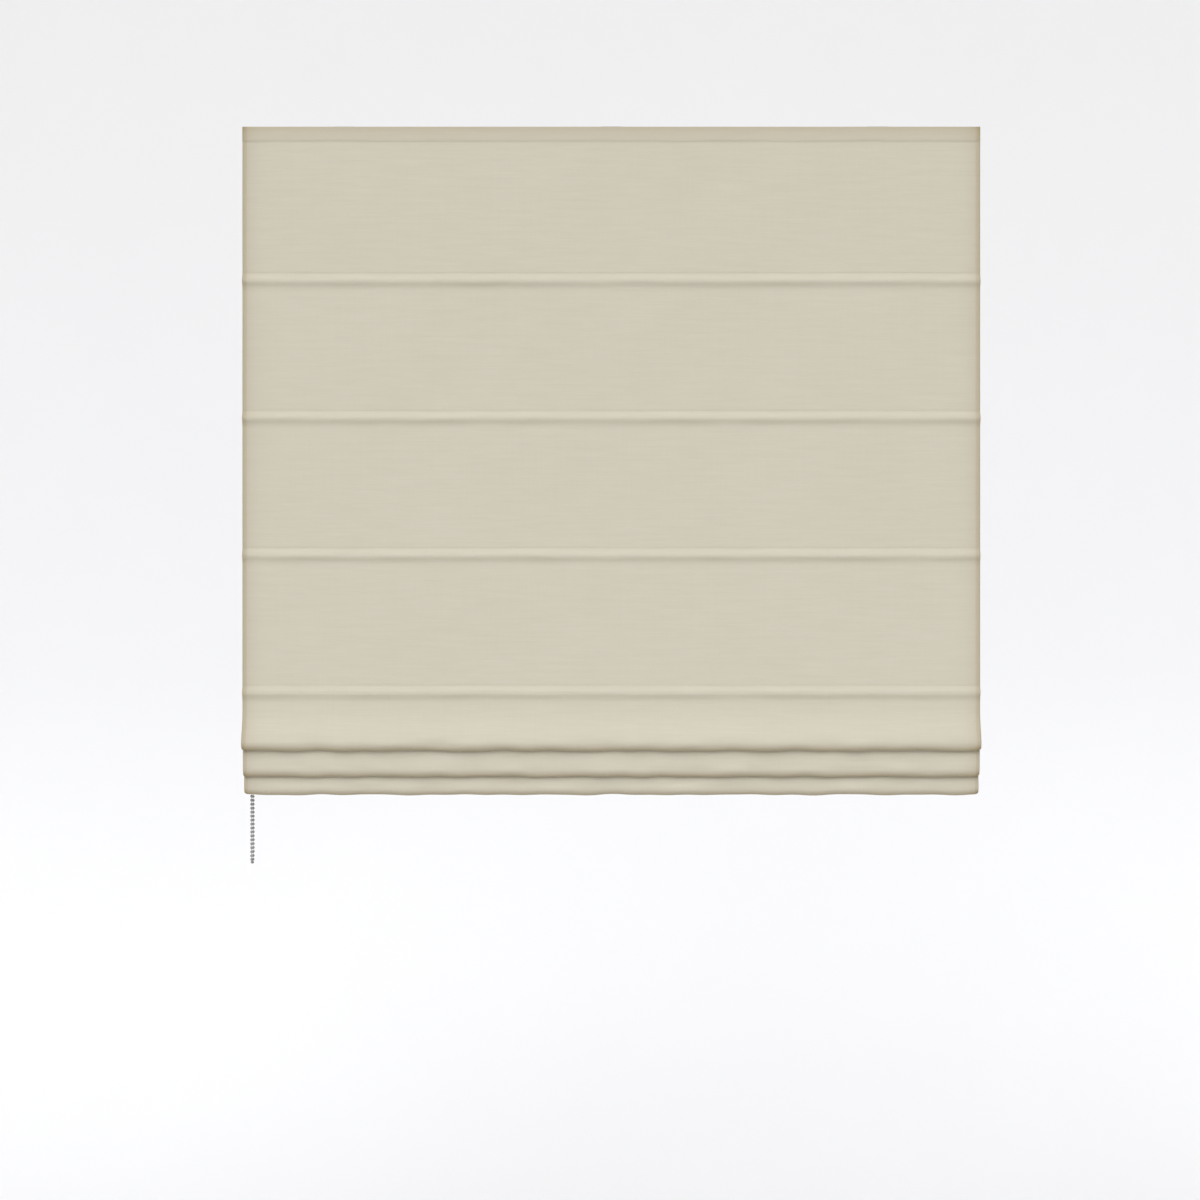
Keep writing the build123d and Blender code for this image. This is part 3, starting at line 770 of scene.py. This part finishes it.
def bead_tree():
    """Beads at each pitch along a line, with the cord that they are moulded on."""
    whole_line = 100.0
    tree, nodes, given, curve = new_tree("beads on a cord", [
        ("Pitch", "NodeSocketFloat", 6 * MM), ("Bead", "NodeSocketFloat", 2.25 * MM),
        ("Cord", "NodeSocketFloat", 0.55 * MM), ("First bead", "NodeSocketFloat", 0.0),
        ("Material", "NodeSocketMaterial", None), ("Cord material", "NodeSocketMaterial", None)])
    rest = nodes.add("GeometryNodeTrimCurve", {"mode": "LENGTH"},
                     {"Curve": curve, 4: given.out("First bead"), 5: whole_line})
    points = nodes.add("GeometryNodeResampleCurve", {"mode": "LENGTH"}, {"Curve": rest, "Length": given.out("Pitch")})
    ball = nodes.add("GeometryNodeMeshUVSphere", None, {"Segments": 10, "Rings": 6, "Radius": given.out("Bead")})
    turned = nodes.add("FunctionNodeAlignRotationToVector", {"axis": "Z"},
                       {"Vector": nodes.add("GeometryNodeInputTangent")})
    beads = nodes.add("GeometryNodeInstanceOnPoints", None,
                      {"Points": points, "Instance": smoothed(nodes, ball), "Rotation": turned})
    ring = nodes.add("GeometryNodeCurvePrimitiveCircle", {"mode": "RADIUS"},
                     {"Resolution": 8, "Radius": given.out("Cord")})
    string = nodes.add("GeometryNodeCurveToMesh", None, {"Curve": points, "Profile Curve": ring, "Fill Caps": True})
    string = nodes.add("GeometryNodeSetMaterial", None,
                       {"Geometry": smoothed(nodes, string), "Material": given.out("Cord material")})
    both = nodes.add("GeometryNodeJoinGeometry")
    for part in (string, beads):
        tree.links.new(part.socket, both.socket.node.inputs[0])
    on_string = nodes.add("GeometryNodeMaterialSelection", None, {"Material": given.out("Cord material")})
    on_beads = nodes.add("FunctionNodeBooleanMath", {"operation": "NOT"}, {0: on_string})
    close_tree(nodes, both, given, on_beads)
    return tree


def grow(name, lines, tree, values):
    """Runs a geometry tree over lines, each a list of points, and returns the plain mesh it makes."""
    mesh = bpy.data.meshes.new(name)
    points = [tuple(p) for line in lines for p in line]
    starts = np.cumsum([0] + [len(line) for line in lines])
    edges = [(s + i, s + i + 1) for s, line in zip(starts, lines) for i in range(len(line) - 1)]
    mesh.from_pydata(points, edges, [])
    piece = bpy.data.objects.new(name, mesh)
    bpy.context.scene.collection.objects.link(piece)
    modifier = piece.modifiers.new("grow", "NODES")
    modifier.node_group = tree
    names = {item.name: item.identifier for item in tree.interface.items_tree if item.in_out == "INPUT"}
    for label, value in values.items():
        modifier[names[label]] = value
    return settle(piece)


# ---------------------------------------------------------------- operators
class ROMAN_OT_stage(bpy.types.Operator):
    """Set the floor and backdrop, the lights and the camera"""

    bl_idname = "roman.stage"
    bl_label = "Stage"

    def execute(self, context):
        scene = context.scene
        material = studio_material(scene.roman_finish.wall)
        floor_z, wall_y, wall_top, bend, reach, steps = -2.6, 4.2, 5.0, 1.6, 9.0, 24
        profile = [(-reach, floor_z), (wall_y - bend, floor_z)]
        for step in range(1, steps + 1):
            angle = pi / 2 * step / steps
            profile.append((wall_y - bend + bend * sin(angle), floor_z + bend - bend * cos(angle)))
        profile.append((wall_y, wall_top))
        points = [(x, y, z) for x in (-reach, reach) for y, z in profile]
        count = len(profile)
        faces = [(i, i + count, i + count + 1, i + 1) for i in range(count - 1)]
        new_piece("studio_sweep", points, faces, material)
        self.add_light("key", (-0.8, -4.0, 3.2), (0.0, 0.0, -0.55), (0.98, 1.0, 1.045), 50.0, 2.32)
        self.add_light("front fill", (0.5, -4.0, -1.3), (0.0, 0.0, -0.6), (1.0, 0.99, 0.97), 60.0, 0.22)
        self.add_surroundings(scene, (1.0, 0.905, 0.73), 0.25)
        self.add_camera(scene)
        scene.view_settings.view_transform = "Standard"
        return {"FINISHED"}

    def add_camera(self, scene):
        """A long lens level with the middle of the blind, straight in front of it."""
        camera = bpy.data.objects.new("camera", bpy.data.cameras.new("camera"))
        camera.data.lens, camera.data.sensor_width = 72.0, 36.0
        camera.data.shift_x, camera.data.shift_y = -0.0094, -0.0393
        camera.location = (0.0, -3.6275, -0.6405)
        camera.rotation_euler = (radians(90), 0, 0)
        scene.collection.objects.link(camera)
        scene.camera = camera

    def add_surroundings(self, scene, tint, power):
        """A warm light from all round, that the camera sees as a pale room."""
        world = bpy.data.worlds.new("studio")
        world.use_nodes = True
        nodes = Nodes(world.node_tree)
        glow = nodes.add("ShaderNodeBackground", None, {"Color": (*tint, 1.0), "Strength": power})
        room = nodes.add("ShaderNodeBackground", None, {"Color": (*scene.roman_finish.wall, 1.0), "Strength": 0.95})
        seen = nodes.add("ShaderNodeLightPath").out("Is Camera Ray")
        both = nodes.add("ShaderNodeMixShader", None, {0: seen, 1: glow, 2: room})
        nodes.tree.links.new(both.socket, nodes.tree.nodes["World Output"].inputs["Surface"])
        scene.world = world

    def add_light(self, name, place, target, tint, softness, power):
        """A broad, even light from that way. Softness is the width of the source in degrees."""
        data = bpy.data.lights.new(name, "SUN")
        data.color, data.energy, data.angle = tint, power, radians(softness)
        light = bpy.data.objects.new(name, data)
        light.location = place
        light.rotation_euler = (Vector(target) - Vector(place)).to_track_quat("-Z", "Y").to_euler()
        bpy.context.scene.collection.objects.link(light)


class ROMAN_OT_chain(bpy.types.Operator):
    """Hang the bead chain from its wheel, and lay its beads over the wheel"""

    bl_idname = "roman.chain"
    bl_label = "Bead chain"

    # (y, z) in metres: down from the front of the wheel, round the bottom, and up to its back.
    route = [
        (-0.00955, -0.0155), (-0.00955, -0.045), (-0.0087, -0.0745), (0.014, -0.84), (0.0166, -0.93),
        (0.0164, -1.02), (0.0159, -1.075), (0.0152, -1.11175), (0.0334, -1.11175), (0.0327, -1.075),
        (0.0322, -1.02), (0.032, -0.93), (0.0297, -0.84), (0.0103, -0.0745), (0.00955, -0.045), (0.00955, -0.0155),
    ]

    def execute(self, context):
        sizes = context.scene.roman_cords
        tree = bead_tree()
        values = {"Pitch": sizes.bead_pitch, "Bead": sizes.bead / 2, "Cord": sizes.bead_cord / 2,
                  "Material": bead_material(sizes),
                  "Cord material": moulded_material("bead cord", sizes.string_colour, 0.6)}
        x = middle("bead_chain").x
        line = smooth_line([(x, y, z) for y, z in self.route])
        chain = grow("bead_chain_beads", [line], tree, {**values, "First bead": sizes.first_bead})
        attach(chain, ROOT)
        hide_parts("bead_chain")
        low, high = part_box("chain_wrap")
        radius = (high.y - low.y) / 2 - sizes.bead / 2
        # over the top of the wheel, between the places where the two runs leave it
        angles = np.linspace(0.12 * pi, 0.88 * pi, 40)
        arc = [(x, -radius * cos(angle), low.z + radius * sin(angle)) for angle in angles]
        wrap = grow("wheel_beads", [arc], tree, values)
        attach(wrap, ROOT)
        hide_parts("chain_wrap")
        return {"FINISHED"}


class ROMAN_OT_lift_cords(bpy.types.Operator):
    """Thread the three braided lift cords through their rings, each with the knot at its lower end"""

    bl_idname = "roman.lift_cords"
    bl_label = "Lift cords"

    # (y, z) in metres: from the spool straight down to the knot under the anchor.
    route = [(-0.008, -0.0155), (-0.008, -0.46), (-0.008, -0.9174)]

    def execute(self, context):
        sizes = context.scene.roman_cords
        material = braid_material(sizes)
        for side in SIDES:
            x = middle(f"lift_cord_{side}").x
            line = smooth_line([(x, y, z) for y, z in self.route])
            top, knot = line[0][2], line[-1][2]
            cord = self.cord_with_knot(f"lift_cord_{side}_braid", line, sizes.lift_cord / 2, material)
            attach(cord, ROOT)
            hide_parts(f"lift_cord_{side}")
            keep_for(top, knot)
            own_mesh(cord)
            top - knot
        return {"FINISHED"}

    def cord_with_knot(self, name, line, radius, material):
        """A round cord down a line, and an overhand knot drawn tight round its end."""
        x, y, z = line[-1]
        points, faces, maps = tube(line, radius)
        # a trefoil is the line of an overhand knot whose ends are joined
        turns = np.linspace(0, 2 * pi, 73)
        size = 0.42 * MM
        loop = [(x + size * (sin(t) + 2 * sin(2 * t)), y + size * (cos(t) - 2 * cos(2 * t)),
                 z - 1.1 * size * sin(3 * t)) for t in turns]
        more, more_faces, more_maps = tube(loop[:-1], 0.75 * radius, closed=True)
        shift = len(points)
        faces += [tuple(i + shift for i in face) for face in more_faces]
        return new_piece(name, points + more, faces, material, maps + more_maps)


class ROMAN_OT_cloth(bpy.types.Operator):
    """Hang the cloth: the field with its stitched ridges, and the folds gathered below it"""

    bl_idname = "roman.cloth"
    bl_label = "Cloth"

    def execute(self, context):
        sizes = context.scene.roman_cloth
        field, folds, grid, normals, along, split = make_cloth(sizes)
        field_lines, fold_lines = self.stitch_lines(sizes, grid, normals, split)
        tree = stitch_tree()
        values = {"Pitch": sizes.stitch_pitch, "Length": sizes.stitch_length, "Thickness": 0.55 * MM,
                  "Material": thread_material(sizes)}
        sewing = grow("field_stitching", field_lines, tree, {**values, "Seed": 3})
        hem_sewing = grow("hem_stitching", fold_lines, tree, {**values, "Seed": 5})
        keep = keep_for(CLOTH_TOP, CRESTS[-1])
        for piece in (field, sewing):
            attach(piece, ROOT)
            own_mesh(piece)
        for piece in (folds, hem_sewing):
            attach(piece, STACK)
        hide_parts("face_fabric")
        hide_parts("face_fabric")
        float(along[-1] - along[split])
        return {"FINISHED"}

    def stitch_lines(self, sizes, grid, normals, split):
        """The lines of stitches on the field: header, ridges and sides. Then those on the folds: hem and sides."""
        proud, end_gap, hem_rows = 0.05 * MM, 3 * MM, 14
        surface = grid + normals * (sizes.thickness / 2 + proud)
        x, mid = grid[0, :, 0], grid[:, grid.shape[1] // 2]
        inside = np.abs(x) < HALF_WIDTH - end_gap
        levels = [CLOTH_TOP - sizes.header_drop] + [crest + sizes.ridge_stitch for crest in CRESTS]
        across = [surface[np.abs(mid[:split + 1, 2] - level).argmin(), inside] for level in levels]
        columns_at_sides = [np.abs(x - side * (HALF_WIDTH - sizes.edge_stitch)).argmin() for side in (-1, 1)]
        down = [surface[2:split, column] for column in columns_at_sides]
        down_folds = [surface[split + 2:-hem_rows, column] for column in columns_at_sides]
        behind_bar = (mid[:, 1] > BAR_HIGH.y) & (mid[:, 2] > BAR_LOW.z - 1.0 * MM) & (np.arange(len(mid)) >= split)
        hem = surface[behind_bar.argmax(), inside]
        return across + down, [hem] + down_folds


class ROMAN_OT_finishes(bpy.types.Operator):
    """Give the headrail, drive, ribs, rings and bottom bar their finishes"""

    bl_idname = "roman.finishes"
    bl_label = "Finishes"

    def execute(self, context):
        tints, cords = context.scene.roman_finish, context.scene.roman_cords
        powder = powder_material(tints.rail)
        moulding = moulded_material("white moulding", tints.moulding, 0.45)
        milky = moulded_material("milky moulding", tints.rings, 0.28)
        zinc = metal_material("zinc plate", tints.metal, (40.0, 900.0, 900.0))
        aluminium = metal_material("bare aluminium", tints.metal, (6.0, 1500.0, 1500.0))
        pocket = tape_material("pocket tape", tints.tape, False)
        hooks = tape_material("hook tape", [0.9 * c for c in tints.tape], True)
        loops = tape_material("loop tape", tints.tape, True)
        wound = wound_material(cords.cord_colour)
        beads = moulded_material("connector plastic", cords.bead_colour, 0.35)
        rods = fibre_material()
        finishes = {
            "headrail": powder, "brackets": zinc, "hook_tape": hooks, "loop_tape": loops,
            "drive_shaft": aluminium, "bottom_bar": aluminium, "cord_anchors": milky, "chain_connector": beads,
        }
        finishes.update({f"rib_{n}": rods for n in FIELD_RIBS + STACK_RIBS})
        prefixes = {"cord_rings": milky, "rib_pocket": pocket, "cord_winding": wound}
        for name, node in frame["nodes"].items():
            by_prefix = [material for prefix, material in prefixes.items() if name.startswith(prefix)]
            material = finishes.get(name) or (by_prefix or [moulding])[0]
            node.data.materials.clear()
            node.data.materials.append(material)
        return {"FINISHED"}


class ROMAN_PT_panel(bpy.types.Panel):
    """Lists the steps that build the blind's looks"""

    bl_idname = "ROMAN_PT_panel"
    bl_label = "Roman blind"
    bl_space_type = "VIEW_3D"
    bl_region_type = "UI"
    bl_category = "Roman blind"

    def draw(self, context):
        for operator in OPERATORS:
            self.layout.operator(operator.bl_idname)
        for group in (context.scene.roman_cloth, context.scene.roman_cords, context.scene.roman_finish):
            for key in group.bl_rna.properties.keys():
                if key not in ("rna_type", "name"):
                    self.layout.prop(group, key)


OPERATORS = (ROMAN_OT_stage, ROMAN_OT_chain, ROMAN_OT_lift_cords, ROMAN_OT_cloth, ROMAN_OT_finishes)
GROUPS = {"roman_cloth": ClothSizes, "roman_cords": CordSizes, "roman_finish": FinishColours}


def register():
    """Adds the classes and the scene's property groups."""
    for group in GROUPS.values():
        bpy.utils.register_class(group)
    for name, group in GROUPS.items():
        setattr(bpy.types.Scene, name, bpy.props.PointerProperty(type=group))
    for operator in (*OPERATORS, ROMAN_PT_panel):
        bpy.utils.register_class(operator)


def unregister():
    """Takes them away again."""
    for operator in (ROMAN_PT_panel, *reversed(OPERATORS)):
        bpy.utils.unregister_class(operator)
    for name in GROUPS:
        delattr(bpy.types.Scene, name)
    for group in GROUPS.values():
        bpy.utils.unregister_class(group)


def main():
    """Runs the steps in order."""
    register()
    bpy.ops.roman.stage()
    bpy.ops.roman.chain()
    bpy.ops.roman.lift_cords()
    bpy.ops.roman.cloth()
    bpy.ops.roman.finishes()


if __name__ == "__main__":
    main()
